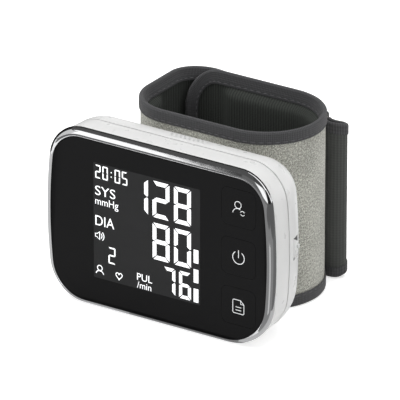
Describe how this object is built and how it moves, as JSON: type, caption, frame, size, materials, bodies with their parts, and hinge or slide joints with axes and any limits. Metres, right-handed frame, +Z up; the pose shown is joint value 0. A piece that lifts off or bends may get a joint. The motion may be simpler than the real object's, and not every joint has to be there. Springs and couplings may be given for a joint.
{
  "type": "wrist blood pressure monitor",
  "caption": "Wrist blood pressure monitor with a glossy panel in a chrome bezel, flush keys, a battery door and a soft inflatable cuff whose flap peels open.",
  "frame": {"origin": "middle of the bounding box in plan, at the level of the flat foot that the bezel and the cuff stand on", "axes": "+X to the right along the face, +Y back through the cuff, +Z up"},
  "size_m": [0.0908, 0.071, 0.065],
  "materials": {
    "white_shell": "satin white moulded plastic",
    "black_gloss": "polished black acrylic",
    "chrome_trim": "bright plated plastic",
    "display_glass": "dark display cell",
    "dark_foam": "matt foam",
    "board_green": "solder-masked laminate",
    "dark_plastic": "moulded black plastic",
    "red_plastic": "moulded plunger",
    "steel": "plain steel",
    "sensor_body": "moulded sensor case",
    "silicone": "clear silicone",
    "cell_jacket": "printed jacket",
    "grey_cloth": "brushed loop cloth",
    "dark_lining": "ribbed lining",
    "dark_tape": "woven binding tape",
    "bladder": "welded film",
    "stiffener": "sprung sheet"
  },
  "bodies": {
    "housing": {"air_tee": "silicone", "case_screw_1": "steel", "case_screw_2": "steel", "case_screw_3": "steel", "case_screw_4": "steel", "cell_left": "cell_jacket", "cell_right": "cell_jacket", "chrome_bezel": "chrome_trim", "contact_bridge": "steel", "contact_negative": "steel", "contact_positive": "steel", "controller_chip": "dark_plastic", "cuff_binding": "dark_tape", "cuff_bladder": "bladder", "cuff_cloth": "grey_cloth", "cuff_lining": "dark_lining", "cuff_nipple": "silicone", "cuff_rivet_1": "dark_plastic", "cuff_rivet_2": "dark_plastic", "cuff_rivet_3": "dark_plastic", "cuff_rivet_4": "dark_plastic", "cuff_stiffener": "stiffener", "display_backlight": "white_shell", "display_gasket": "dark_foam", "display_glass": "display_glass", "exhaust_valve": "steel", "front_panel": "black_gloss", "front_shell": "white_shell", "main_board": "board_green", "pressure_sensor": "sensor_body", "pump_head": "dark_plastic", "pump_motor": "steel", "rear_shell": "white_shell", "speaker": "dark_plastic", "switch_memory": "dark_plastic", "switch_power": "dark_plastic", "switch_user": "dark_plastic", "tube_cuff": "silicone", "tube_pump": "silicone", "tube_valve": "silicone"},
    "key_user": {"key_user": "black_gloss", "plunger_user": "red_plastic"},
    "key_power": {"key_power": "black_gloss", "plunger_power": "red_plastic"},
    "key_memory": {"key_memory": "black_gloss", "plunger_memory": "red_plastic"},
    "battery_door": {"battery_door": "white_shell"},
    "cuff_flap": {"flap_cloth": "grey_cloth", "flap_hook": "dark_lining", "flap_binding_top": "dark_tape", "flap_binding_bottom": "dark_tape", "pull_tab": "dark_tape"}
  },
  "joints": [
    {"name": "key_user_press", "type": "slide", "parent": "housing", "child": "key_user", "axis": [0, 1, 0], "range_m": [0, 0.0006], "stiffness_N_per_m": 300},
    {"name": "key_power_press", "type": "slide", "parent": "housing", "child": "key_power", "axis": [0, 1, 0], "range_m": [0, 0.0006], "stiffness_N_per_m": 300},
    {"name": "key_memory_press", "type": "slide", "parent": "housing", "child": "key_memory", "axis": [0, 1, 0], "range_m": [0, 0.0006], "stiffness_N_per_m": 300},
    {"name": "battery_door_hinge", "type": "hinge", "parent": "housing", "child": "battery_door", "pos_m": [0.02845, -0.00893, 0.032], "axis": [0, 0, 1], "range_deg": [0, 60]},
    {"name": "cuff_flap_hinge", "type": "hinge", "parent": "housing", "child": "cuff_flap", "pos_m": [-0.0181, 0.03553, 0.032], "axis": [0, 0, 1], "range_deg": [0, 100]}
  ]
}
